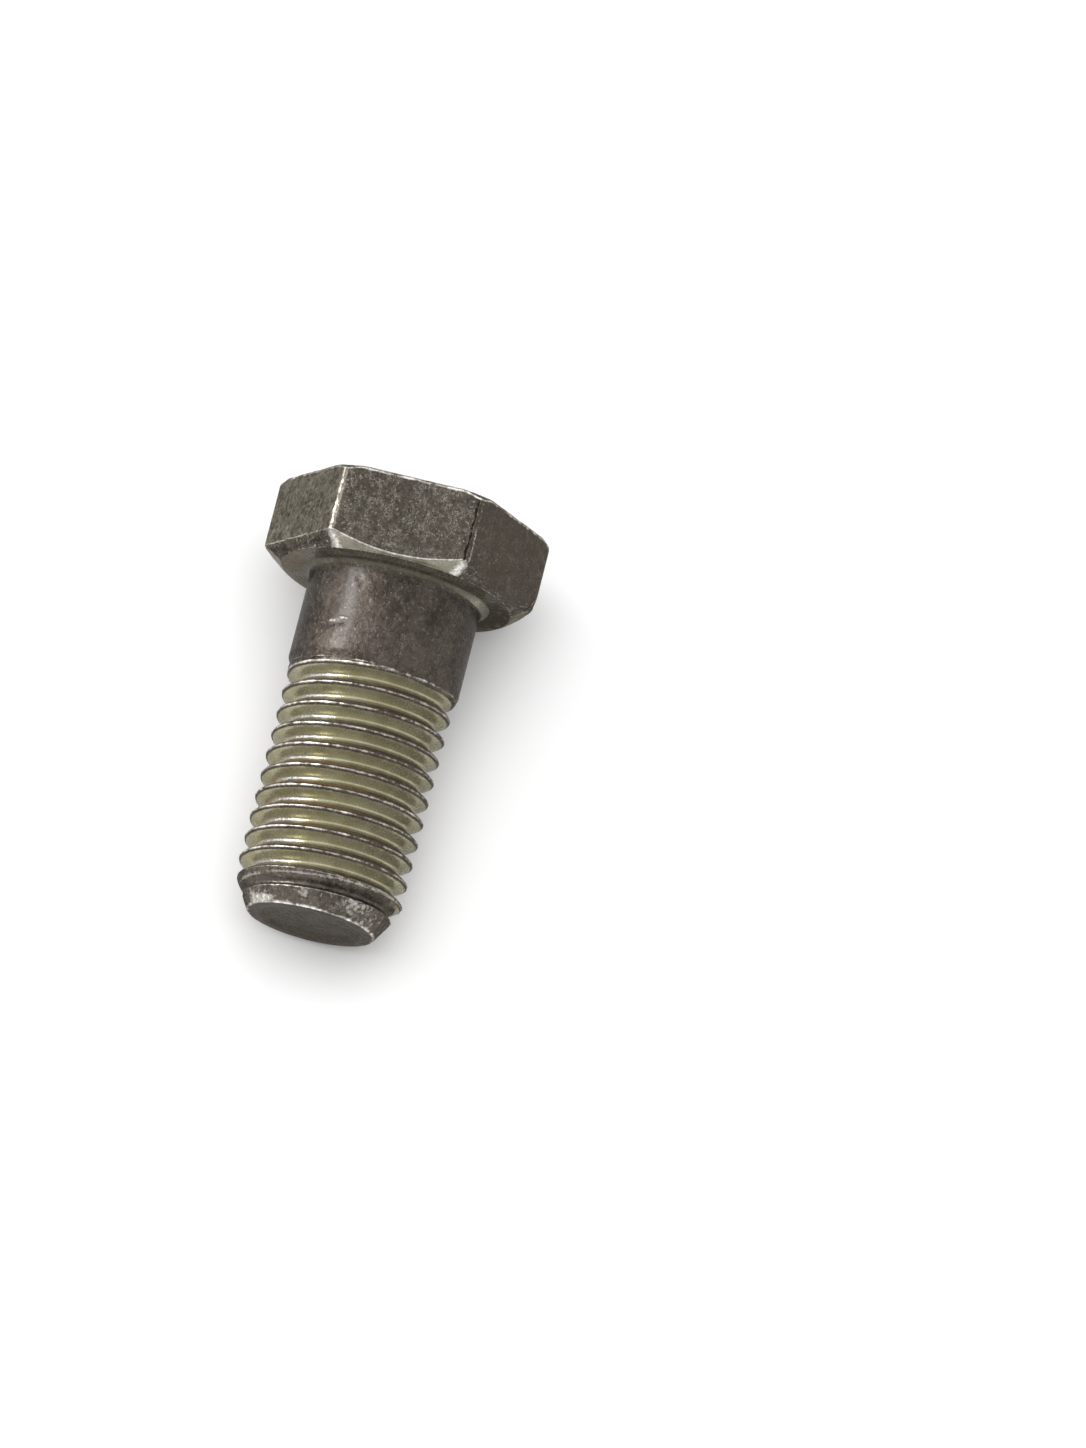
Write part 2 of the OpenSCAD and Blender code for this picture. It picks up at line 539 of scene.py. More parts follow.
headWearAndLight = {                                           # lists run from straight down round by the right
    "corner": [0.7, 0.6, 0.75, 0.9, 0.8, 0.7],         # along the edges between two flats
    "cornerFade": (-4.4, -1.4),                        # its line grows stronger between these heights
    "cornerFleck": 0.55,
    "lowPatch": [0.5, 0.45, 0.9, 0.85, 0.75, 0.5],     # on the lower chamfer, at the corners
    "lowArc": [0.55, 0.5, 0.42, 0.85, 0.8, 0.55],      # along the lower ends of the flats
    "topArc": [0.6, 0.6, 0.72, 0.95, 0.75, 0.6],       # along their upper ends
    "bearingEdge": 0.5,
    "topEdge": 0.72,
    "chamferFilm": [0.7, 0.5, 0.42, 1.0, 0.18, 0.6],   # plating left on the lower chamfer
    "filletFilm": 0.55,
    # the next spot paints a highlight on the fillet at the right as paler plating, and the fillet's darkening
    # is lifted at that spot
    "filletHighlight": [(108, 16, 0.45)],                  # spots: angle, spread, strength
    "filletDirt": 0.7,
    "filletHighlightClear": [(108, 14, 0.7)],
    "bearingDust": 0.04,
    # dirt and painted shade on the bearing face, most of it on the right
    "bearingDirtAndShade": [(80, 64, 1.0), (265, 40, 0.6)],
    "bearingRust": [(262, 32, 0.55)],
    "facetHalf": 0.211,                                # half the width of a trimmed corner
    "seamCorner": 2,                                   # the edge with the dark crack
    # the right flat is darkened by painted shade, as the side away from the light
    "shadedFlat": 2,
    "flatShade": 0.55,
    "scratches": (142, 5, -1.7, 0.8, 0.34),            # patch: angle, spread, height, half height, strength
    "bevelFlat": 4,                                    # the flat with a worn lower end
    "bevelTop": -0.92,
    "bevelDepth": 0.2,
    # plating left on the worn left flat, laid thicker to paint that lit side lighter
    "litFlatFilm": 0.455,
    "bevelStreak": 0.5,
    "chip": {"angle": 92, "height": -1.0, "wide": 0.55, "tall": 0.45, "depth": 0.3,
             "dark": 0.36, "rust": 0.5},
}


def cornerChip(points, angle):
    chip = headWearAndLight["chip"]
    x, y, z = points.T
    across = np.radians(turnFrom(angle, chip["angle"])) * np.hypot(x, y)
    return (z < -0.02) * np.exp(-(across / chip["wide"]) ** 2 - ((z - chip["height"]) / chip["tall"]) ** 2)


def wornNoise(points):
    return 0.85 + 0.6 * bumpy(points, 2.6, 2.2)


def headMasks(points, r, angle, z, masks):
    degrees = np.degrees(angle) % 360
    flat = np.round(degrees / 60).astype(int) % 6
    corner = np.floor(degrees / 60).astype(int) % 6
    fromCorner = np.radians(turnFrom(angle, 0) % 60 - 30) * r

    def eachFlat(name):
        return np.array(headWearAndLight[name])[flat]

    def eachCorner(name):
        return np.array(headWearAndLight[name])[corner]

    # the head's faces
    wide = headRadius(angle)
    bevelled = flat == headWearAndLight["bevelFlat"]
    arcLow = -(wide - bearingRadius) * chamferSlope
    arcLow = np.where(bevelled, np.minimum(arcLow, headWearAndLight["bevelTop"]), arcLow)
    topZ = -headShape["height"]
    arcTop = topZ + topDrop(wide)
    topRim = np.minimum(topRadius, wide - headShape["topBreak"])
    onHead = (z < 0.01) & (r > filletEdge - 0.05) | (z < -0.5)
    wall = onHead * ease(z, arcTop - 0.1, arcTop + 0.02) * (1 - ease(z, arcLow - 0.02, arcLow + 0.1))
    lowChamfer = onHead * ease(z - arcLow, 0.0, 0.1) * ease(r, bearingRadius - 0.06, bearingRadius + 0.06)
    bearing = onHead * ease(z, -0.09, -0.02) * (1 - ease(r, bearingRadius - 0.1, bearingRadius))
    fillet = (z >= 0) * (r < filletEdge + 0.15) * (1 - ease(z, 0.25, 0.55))

    # bright lines along the edges, one of them cracked
    half = headWearAndLight["facetHalf"]
    darkMark = corner == headWearAndLight["seamCorner"]
    waver = 0.1 * bumpy(points, 1.7, 6.1)
    worn = wornNoise(points)
    seamLine = 0.8 * bell(fromCorner + 0.3 * waver, -half, 0.13)
    plainLine = worn * bell(fromCorner + waver, 0.5 * half, 0.17)
    fade = 0.7 + 0.32 * ease(z, *headWearAndLight["cornerFade"])
    lay(masks, "wearAndHighlight", wall * np.where(darkMark, seamLine, plainLine) * eachCorner("corner") * fade)
    fleck = ease(bumpy(points, 3.4, 11.2), 0.25, 0.5) * bell(fromCorner, -0.5, 0.5)
    lay(masks, "wearAndHighlight", wall * ~darkMark * eachCorner("corner") * fleck * headWearAndLight["cornerFleck"])
    crack = bell(fromCorner + 0.6 * waver, 0.8 * half, 0.1) * (0.8 + 0.5 * bumpy(points, 1.9, 3.8))
    lay(masks, "dark", wall * darkMark * crack)

    # bright rims, patches and scratches
    streak = ease(bumpy(points * [3.2, 3.2, 0.5], 1.0, 4.4), 0.1, 0.4)
    lay(masks, "wearAndHighlight", lowChamfer * bevelled * streak * headWearAndLight["bevelStreak"])
    lay(masks, "wearAndHighlight", lowChamfer * bell(fromCorner, 0, 0.55) * eachCorner("lowPatch"))
    lay(masks, "wearAndHighlight", onHead * (r > bearingRadius) * bell(z - arcLow, 0, 0.085) * eachFlat("lowArc"))
    lay(masks, "wearAndHighlight", onHead * (r > topRim) * bell(z - arcTop, 0.05, 0.12) * worn * eachFlat("topArc"))
    lay(masks, "wearAndHighlight", onHead * (z > -0.2) * bell(r, bearingRadius, 0.09) * headWearAndLight["bearingEdge"])
    lay(masks, "wearAndHighlight", onHead * (z < topZ + 0.2) * bell(r, topRim, 0.1) * headWearAndLight["topEdge"])
    # the right flat: scratches, and painted shade over it
    darkening = wall * (flat == headWearAndLight["shadedFlat"])
    lay(masks, "wearAndHighlight", darkening * patchAt(angle, z, headWearAndLight["scratches"]))

    # plating, with a painted highlight on the fillet and the lit left flat painted lighter; dirt, with
    # painted shade on the bearing face and the right flat; and rust
    lay(masks, "film", lowChamfer * eachFlat("chamferFilm"))
    lay(masks, "film", bearing)
    lay(masks, "film", fillet * (headWearAndLight["filletFilm"] + around(angle, headWearAndLight["filletHighlight"])))
    lay(masks, "film", wall * bevelled * headWearAndLight["litFlatFilm"])
    lay(masks, "grimeAndShade", bearing * (headWearAndLight["bearingDust"] + around(angle, headWearAndLight["bearingDirtAndShade"])))
    lay(masks, "grimeAndShade", fillet * (headWearAndLight["filletDirt"] - around(angle, headWearAndLight["filletHighlightClear"])))
    lay(masks, "grimeAndShade", darkening * headWearAndLight["flatShade"])
    lay(masks, "rust", bearing * around(angle, headWearAndLight["bearingRust"]))
    chip = cornerChip(points, angle)
    lay(masks, "dark", ease(chip, 0.3, 0.7) * headWearAndLight["chip"]["dark"])
    lay(masks, "rust", ease(chip, 0.3, 0.8) * headWearAndLight["chip"]["rust"])


# the lip strength also sets each mark's painted highlight and painted shade
shankMarks = [                                         # angle, height, half width, half height, depth, lip
    (206.1, 4.42, 0.50, 0.28, 0.07, 0.72),
    (213.0, 4.65, 0.80, 0.30, 0.04, 0.62),
    (222.0, 4.80, 0.50, 0.30, 0.03, 0.55),
    (202.4, 1.29, 0.22, 0.18, 0.07, 0.5),
    (205.5, 0.95, 0.20, 0.15, 0.05, 0.4),
    (199.0, 1.75, 0.18, 0.18, 0.05, 0.3),
    (183.5, 3.21, 0.16, 0.16, 0.06, 0.5),
    (166.9, 4.07, 0.15, 0.15, 0.05, 0.4),
    (150.0, 2.40, 0.30, 0.18, 0.03, 0.2),
    (60.0, 3.00, 0.50, 0.20, 0.06, 0.6),
    (330.0, 2.00, 0.35, 0.35, 0.05, 0.5),
]


def shankMasks(r, angle, z, masks):
    # each dent has a bright lip toward the head, worn metal with a painted highlight, and a painted shade on
    # its side toward the tip
    onShank = (z > shankShape["fillet"] - 0.2) & (z < shankShape["length"] - 0.2)
    for middle, height, halfWide, halfTall, depth, lip in shankMarks:
        across = np.radians(turnFrom(angle, middle)) * r / halfWide
        along = (z - height) / halfTall
        lay(masks, "wearAndHighlight", onShank * lip * np.exp(-across ** 2 - (along + 0.7) ** 2 * 2.5))
        lay(masks, "dark", onShank * 0.8 * lip * np.exp(-(across * 1.6) ** 2 - (along - 0.7) ** 2 * 3))


threadWearAndLight = {
    "filmDepth": (0.1, 0.24),                          # below the blank, where plating begins and is whole
    "filmEnd": 21.9,
    "crestDirt": 0.6,
    "crestWear": 0.64,
    # crest beads are worn bare metal, with a painted highlight stronger on the left
    "crestHighlight": [(228, 42, 0.3)],
    # dirt and painted shade on the head-facing flanks, with more painted shade on the right
    "flankDirtAndShade": 0.8,
    "flankShadeRight": [(130, 50, 0.35)],
    # painted shade along the roots on the right
    "rootShade": 0.7,
    # a painted highlight along the roots on the lit left
    "rootHighlight": [(222, 32, 0.78)],
    "ringLine": (7.0, 0.06, 0.66),                     # height, half height, strength
    "ringShade": (7.13, 0.05, 0.6),
    "rustMiddle": 16.5,
    "rustReach": 5.0,
    "flankRust": 0.3,
    "flankRustMore": [(205, 45, 0.8)],
    "rootRust": [(250, 20, 0.7)],
}


def threadMasks(points, r, angle, z, drop, masks):
    # place across one pitch: 0 in the root, half either way at the crests
    turn = (angle - startAngle) / (2 * math.pi)
    begin = shankShape["length"]
    taperEnd = shankShape["taperEnd"]
    away = ((z - begin) / threadShape["pitch"] - turn + 0.5) % 1 - 0.5
    threaded = (z > shankShape["plainEnd"] + 0.02) & (z < tipShape["lastRing"] + 0.02)
    threaded &= r > tipRadius - 0.15
    plated = 1 - ease(z, threadWearAndLight["filmEnd"], threadWearAndLight["filmEnd"] + 0.5)
    crest = threaded * ease(z, begin - 0.05, begin + 0.15) * (1 - ease(drop, 0.05, 0.2))
    root = threaded * ease(drop, 0.72, 0.86)
    groove = threaded * plated * ease(drop, 0.05, 0.17)
    flank = ease(away, 0.08, 0.2)                      # the side of a crest that faces the head
    lay(masks, "film", threaded * ease(drop, *threadWearAndLight["filmDepth"]) * plated)

    # bright beads on the crests, worn bare metal with a painted highlight stronger on the left, a painted
    # highlight along the roots on the left, and the ring where the shank ends
    bead = 0.9 + 0.55 * bumpy(points, 1.7, 9.4)
    ridge = bell(np.abs(away), 0.5, 0.075)
    shine = threadWearAndLight["crestWear"] + around(angle, threadWearAndLight["crestHighlight"])
    lay(masks, "wearAndHighlight", crest * ridge * bead * plated * shine)
    lay(masks, "wearAndHighlight", root * around(angle, threadWearAndLight["rootHighlight"]) * plated)
    above = threaded * (drop < 0.1) * (z < taperEnd + 0.55) * ease(turnFrom(angle, 150), 0, 20)
    for name, ring in (("wearAndHighlight", "ringLine"), ("dark", "ringShade")):
        height, halfTall, strength = threadWearAndLight[ring]
        lay(masks, name, above * bell(z, height, halfTall) * strength)

    # dirt on the crests, dirt and painted shade on the head-facing flanks, painted shade at the roots on the
    # right, and rust
    lay(masks, "grimeAndShade", crest * plated * ease(z, taperEnd + 0.15, taperEnd + 0.45) * threadWearAndLight["crestDirt"])
    darkening = threadWearAndLight["flankDirtAndShade"] + around(angle, threadWearAndLight["flankShadeRight"])
    lay(masks, "grimeAndShade", groove * flank * darkening)
    rightSide = 1 - ease(turnFrom(angle, 180), -5, 18)
    lay(masks, "grimeAndShade", groove * bell(away, 0.06, 0.05) * rightSide * threadWearAndLight["rootShade"])
    low = bell(z, threadWearAndLight["rustMiddle"], threadWearAndLight["rustReach"])
    rusty = threadWearAndLight["flankRust"] + around(angle, threadWearAndLight["flankRustMore"])
    lay(masks, "rust", groove * ease(away, 0.12, 0.3) * low * rusty)
    lay(masks, "rust", groove * ease(drop, 0.35, 0.8) * low * around(angle, threadWearAndLight["rootRust"]))
    return crest


tipWear = {
    "rim": 0.9,
    "coneEdge": 0.64,
    "coneWear": 0.17,
    "conePatches": [(228, 17, 24.2, 0.5, 0.62), (186, 5, 23.7, 0.35, 0.4), (150, 12, 23.4, 0.3, 0.3)],
    "coneStreaks": [(242, 4, 0.3), (132, 22, 0.22)],
    "endDarkening": 0.64,
    "endRings": 0.1,                                   # how much the darkening follows the turning marks
    "ringPhase": 11.0,                                 # radians for each millimetre from the axis
    "spotRadius": 1.23,                                # place of the rust spot in the end face
    "spotAngle": 172.5,
    "spotRust": 1.1,
}


def tipMasks(points, r, angle, z, drop, masks):
    x, y = points.T[:2]
    end = tipShape["boltLength"]
    onTip = z > coneStart - 0.6
    rimGap = np.hypot(r - tipRadius, z - end)
    lay(masks, "wearAndHighlight", onTip * bell(rimGap, 0, 0.17) * wornNoise(points) * tipWear["rim"])
    lay(masks, "wearAndHighlight", onTip * (drop < 0.12) * bell(drop, 0.05, 0.05) * tipWear["coneEdge"])
    patchy = tipWear["coneWear"] + 0.2 * bumpy(points, 1.4, 8.8) + 0.26 * bumpy(points, 4.2, 5.2)
    patchy += around(angle, tipWear["coneStreaks"])
    patchy += sum(patchAt(angle, z, patch) for patch in tipWear["conePatches"])
    onCone = (drop < 0.15) * (z < end - 0.05) * ease(z, coneStart - 0.2, coneStart + 0.1)
    lay(masks, "wearAndHighlight", onCone * patchy)
    rings = np.sin(tipWear["ringPhase"] * r + 0.8 * bumpy(points, 0.9, 2.7))
    onEnd = (z > end - 0.3) * (r < tipRadius - 0.15)
    # the end face darker, following the turning marks
    lay(masks, "grimeAndShade", onEnd * (tipWear["endDarkening"] + tipWear["endRings"] * rings))
    turned = math.radians(tipWear["spotAngle"])
    spotX = tipWear["spotRadius"] * math.cos(turned)
    spotY = tipWear["spotRadius"] * math.sin(turned)
    spotGap = np.hypot(x - spotX, (y - spotY) * 0.6)
    lay(masks, "rust", onEnd * bell(spotGap, 0, 0.22) * tipWear["spotRust"])
    lay(masks, "dark", onEnd * bell(spotGap, 0, 0.1))


def makeMasks(points):
    x, y, z = points.T
    r = np.hypot(x, y)
    angle = np.arctan2(y, x)
    drop = blankRadius(z) - r                          # how far below the turned blank
    masks = {name: np.zeros(len(points)) for name in ("wearAndHighlight", "film", "dark", "rust", "grimeAndShade")}
    headMasks(points, r, angle, z, masks)
    shankMasks(r, angle, z, masks)
    crest = threadMasks(points, r, angle, z, drop, masks)
    tipMasks(points, r, angle, z, drop, masks)
    return masks, crest


# Dents and chips: points move inward only, so the bolt keeps its size

denting = {
    "waviness": 0.016,
    "chipDepth": 0.13,
    "crestNick": 0.07,
    "coneScore": 0.035,
    "bevelFade": (19, 29),                             # degrees from the middle of the worn flat
    "bevelRun": 0.76,
}


def dentBolt(mesh, points, wearAndHighlight, crest):
    normals = np.empty(len(points) * 3)
    mesh.vertices.foreach_get("normal", normals)
    normals = normals.reshape(-1, 3)
    x, y, z = points.T
    r = np.hypot(x, y)
    angle = np.arctan2(y, x)
    broad = bumpy(points, 0.45, 3.1)
    chips = bumpy(points, 2.1, 17.3)
    grit = bumpy(points, 5.5, 41.7)
    head = z < -0.02
    fillet, begin = shankShape["fillet"], shankShape["length"]
    plain = ease(z, fillet - 0.05, fillet + 0.3) * (1 - ease(z, begin - 1.2, begin - 0.2))
    cone = (z > coneStart) & (z < tipShape["boltLength"] - 0.01)
    depth = np.maximum(head, plain) * denting["waviness"] * (0.5 + 0.5 * broad)
    depth += head * wearAndHighlight * denting["chipDepth"] * (0.12 + np.clip(chips + 0.35 * grit, 0, 1))
    depth += crest * denting["crestNick"] * np.clip(chips + 0.7 * grit - 0.05, 0, 1)
    depth += cone * denting["coneScore"] * np.clip(chips + grit, 0, 1)
    depth += headWearAndLight["chip"]["depth"] * cornerChip(points, angle)
    side = np.abs(turnFrom(angle, 60 * headWearAndLight["bevelFlat"]))
    bevel = head * (r > bearingRadius - 0.05) * (1 - ease(side, *denting["bevelFade"]))
    bevel = bevel * (1 - ease(z, -0.12, -0.02))
    depth += bevel * headWearAndLight["bevelDepth"] * np.clip((z - headWearAndLight["bevelTop"]) / denting["bevelRun"], 0, 1)
    for middle, height, halfWide, halfTall, deep, lip in shankMarks:
        across = np.radians(turnFrom(angle, middle)) * r / halfWide
        depth += plain * deep * np.exp(-across ** 2 - ((z - height) / halfTall) ** 2)
    dented = points - normals * depth[:, None]
    mesh.vertices.foreach_set("co", dented.ravel())
    mesh.update()
    print("deepest dent", round(float(depth.max()), 3), "mm")


# Finishes: shared node groups first


def newGroup(name, inputs, outputs):
    tree = bpy.data.node_groups.new(name, "ShaderNodeTree")
    kinds = {"vector": "NodeSocketVector", "colour": "NodeSocketColor", "value": "NodeSocketFloat"}
    for label, kind in inputs:
        tree.interface.new_socket(name=label, in_out="INPUT", socket_type=kinds[kind])
    for label, kind in outputs:
        tree.interface.new_socket(name=label, in_out="OUTPUT", socket_type=kinds[kind])
    return tree, tree.nodes.new("NodeGroupInput").outputs, tree.nodes.new("NodeGroupOutput").inputs


def useGroup(tree, group, inputs):
    node = tree.nodes.new("ShaderNodeGroup")
    node.node_tree = group
    for name, value in inputs.items():
        feed(tree, node.inputs[name], value)
    return node.outputs


def grain(tree, place, scale, detail=3.0, rough=0.6, distortion=0.0):
    inputs = {"Vector": place, "Scale": scale, "Detail": detail, "Roughness": rough, "Distortion": distortion}
    return put(tree, "ShaderNodeTexNoise", inputs).outputs[0]


def ramp(tree, value, low, high, first=0.0, last=1.0):
    inputs = {"Value": value, "From Min": low, "From Max": high, "To Min": first, "To Max": last}
    return put(tree, "ShaderNodeMapRange", inputs, interpolation_type="SMOOTHSTEP").outputs[0]


def mixColour(tree, factor, first, second):
    return put(tree, "ShaderNodeMix", {0: factor, 6: first, 7: second}, data_type="RGBA").outputs[2]


def mixValue(tree, factor, first, second):
    return put(tree, "ShaderNodeMix", {0: factor, 2: first, 3: second}, data_type="FLOAT").outputs[0]


def makeSteelSkin():
    # mottled dark steel with thin wandering pale marks and pale specks
    tree, given, result = newGroup("steelSkin", [
        ("Place", "vector"), ("Dark", "colour"), ("Middle", "colour"), ("Pale", "colour"),
        ("Grain", "value"), ("Speck", "value"), ("Cloud", "value")],
        [("Color", "colour"), ("Rough", "value"), ("Height", "value")])
    place, size = given["Place"], given["Grain"]
    broad = grain(tree, place, 0.55, 3.0, 0.5)
    fine = grain(tree, place, size, 5.0, 0.68, 0.3)
    cloud = calc(tree, "MULTIPLY", calc(tree, "SUBTRACT", broad, 0.5), given["Cloud"])
    body = ramp(tree, calc(tree, "MULTIPLY_ADD", fine, 0.7, cloud), 0.17, 0.53)
    colour = mixColour(tree, body, given["Dark"], given["Middle"])
    wander = grain(tree, place, calc(tree, "MULTIPLY", size, 0.8), 2.0, 0.5, 1.6)
    hair = ramp(tree, calc(tree, "ABSOLUTE", calc(tree, "SUBTRACT", wander, 0.5)), 0.0, 0.045, 1.0, 0.0)
    gate = ramp(tree, grain(tree, place, calc(tree, "MULTIPLY", size, 0.3), 2.0), 0.42, 0.6)
    speck = ramp(tree, grain(tree, place, calc(tree, "MULTIPLY", size, 1.4), 1.5), 0.6, 0.72)
    spots = calc(tree, "MAXIMUM", calc(tree, "MULTIPLY", hair, gate), speck)
    marks = calc(tree, "MULTIPLY", spots, given["Speck"])
    tree.links.new(mixColour(tree, marks, colour, given["Pale"]), result["Color"])
    satin = ramp(tree, fine, 0.3, 0.7, 0.32, 0.46)
    tree.links.new(calc(tree, "SUBTRACT", satin, calc(tree, "MULTIPLY", marks, 0.08)), result["Rough"])
    tree.links.new(calc(tree, "MULTIPLY_ADD", marks, 0.3, fine), result["Height"])
    return tree


def makeRaggedEdge():
    # tears the edge of a mask, and gives its inmost part as well
    tree, given, result = newGroup("raggedEdge", [
        ("Amount", "value"), ("Place", "vector"), ("Grain", "value"), ("Ragged", "value")],
        [("Mask", "value"), ("Core", "value")])
    rip = calc(tree, "SUBTRACT", grain(tree, given["Place"], given["Grain"], 4.0, 0.7, 0.4), 0.5)
    torn = calc(tree, "MULTIPLY_ADD", rip, given["Ragged"], given["Amount"])
    tree.links.new(ramp(tree, torn, 0.38, 0.62), result["Mask"])
    tree.links.new(ramp(tree, torn, 0.66, 0.95), result["Core"])
    return tree


def makePlatingFilm():
    tree, given, result = newGroup("platingFilm", [
        ("Place", "vector"), ("Deep", "colour"), ("Light", "colour"), ("Grey", "colour")],
        [("Color", "colour"), ("Rough", "value"), ("Height", "value")])
    cloud = ramp(tree, grain(tree, given["Place"], 0.7, 4.0, 0.55), 0.35, 0.65)
    fine = grain(tree, given["Place"], 6.0, 4.0, 0.65)
    blot = ramp(tree, grain(tree, given["Place"], 1.9, 4.0, 0.6, 0.6), 0.5, 0.68)
    colour = mixColour(tree, cloud, given["Deep"], given["Light"])
    colour = mixColour(tree, calc(tree, "MULTIPLY", blot, 0.55), colour, given["Grey"])
    tree.links.new(colour, result["Color"])
    tree.links.new(ramp(tree, fine, 0.3, 0.7, 0.18, 0.3), result["Rough"])
    tree.links.new(fine, result["Height"])
    return tree


rustDark = (0.09, 0.035, 0.012, 1)
rustLight = (0.30, 0.16, 0.05, 1)


def makeRustStain():
    tree, given, result = newGroup("rustStain", [("Amount", "value"), ("Place", "vector")],
                                   [("Mask", "value"), ("Color", "colour")])
    flake = grain(tree, given["Place"], 2.6, 5.0, 0.7)
    torn = calc(tree, "MULTIPLY_ADD", calc(tree, "SUBTRACT", flake, 0.5), 0.9, given["Amount"])
    tree.links.new(ramp(tree, torn, 0.3, 0.85), result["Mask"])
    tree.links.new(mixColour(tree, grain(tree, given["Place"], 5.0), rustDark, rustLight), result["Color"])
    return tree


steelSkin = makeSteelSkin()
raggedEdge = makeRaggedEdge()
platingFilm = makePlatingFilm()
rustStain = makeRustStain()

# Each finish has its own values for the shared groups, and the head and the shank share one film
greyFilm = {
    "filmDeep": (0.22, 0.20, 0.152, 1),
    "filmLight": (0.35, 0.327, 0.258, 1),
    "filmGrey": (0.30, 0.287, 0.238, 1),
}

forgedFinish = {
    "dark": (0.040, 0.034, 0.027, 1),
    "middle": (0.105, 0.092, 0.075, 1),
    "pale": (0.27, 0.25, 0.215, 1),
    "grain": 3.6,
    "speck": 0.8,
    "cloud": 0.2,
    **greyFilm,
    "metal": 0.8,
    "gloss": 1.0,
    "oil": 0.04,
    "bump": 0.7,
    "relief": 0.00005,
}

turnedFinish = {
    "dark": (0.036, 0.028, 0.022, 1),
    "middle": (0.086, 0.071, 0.058, 1),
    "pale": (0.19, 0.170, 0.148, 1),
    "grain": 2.6,
    "speck": 0.5,
    "cloud": 0.6,
    **greyFilm,
    "metal": 0.85,
    "gloss": 0.85,
    "oil": 0.24,
    "bump": 1.0,
    "relief": 0.0001,
}

threadFinish = {
    "dark": (0.052, 0.043, 0.036, 1),
    "middle": (0.135, 0.118, 0.100, 1),
    "pale": (0.34, 0.31, 0.27, 1),
    "grain": 3.0,
    "speck": 0.5,
    "cloud": 0.5,
    "filmDeep": (0.375, 0.348, 0.218, 1),
    "filmLight": (0.475, 0.448, 0.302, 1),
    "filmGrey": (0.38, 0.38, 0.30, 1),
    "metal": 0.8,
    "gloss": 1.0,
    "oil": 0.05,
    "bump": 0.5,
    "relief": 0.00004,
}

# the bare and bright metal also paint highlights, the black also paints shade in dents, and the brown paints
# dirt and painted shade
bareMetalAndHighlight = (0.38, 0.355, 0.315, 1)
brightMetalAndHighlight = (0.88, 0.86, 0.82, 1)
darkMarkBlack = (0.018, 0.013, 0.010, 1)
grimeAndShadeBrown = (0.060, 0.047, 0.033, 1)

# The sheen of the steel, and how rough, metallic and proud each layer on it is
layers = {
    "steelIor": 1.25,
    "steelTint": (0.25, 0.24, 0.22, 1),
    "oilRough": 0.25,
    "oilIor": 1.45,
    "filmMetal": 0.5,
    "filmHeight": 0.12,
    "dirtAndShadeRough": 0.8,
    "dirtAndShadeMetal": 0.3,
    "wornAndHighlitRough": 0.3,
    "wornAndHighlitMetal": 0.9,
    "wornAndHighlitHeight": 0.25,
    "stainCover": 0.7,
    "stainRough": 0.75,
    "stainMetal": 0.1,
    "darkMarkHeight": -1.2,
}


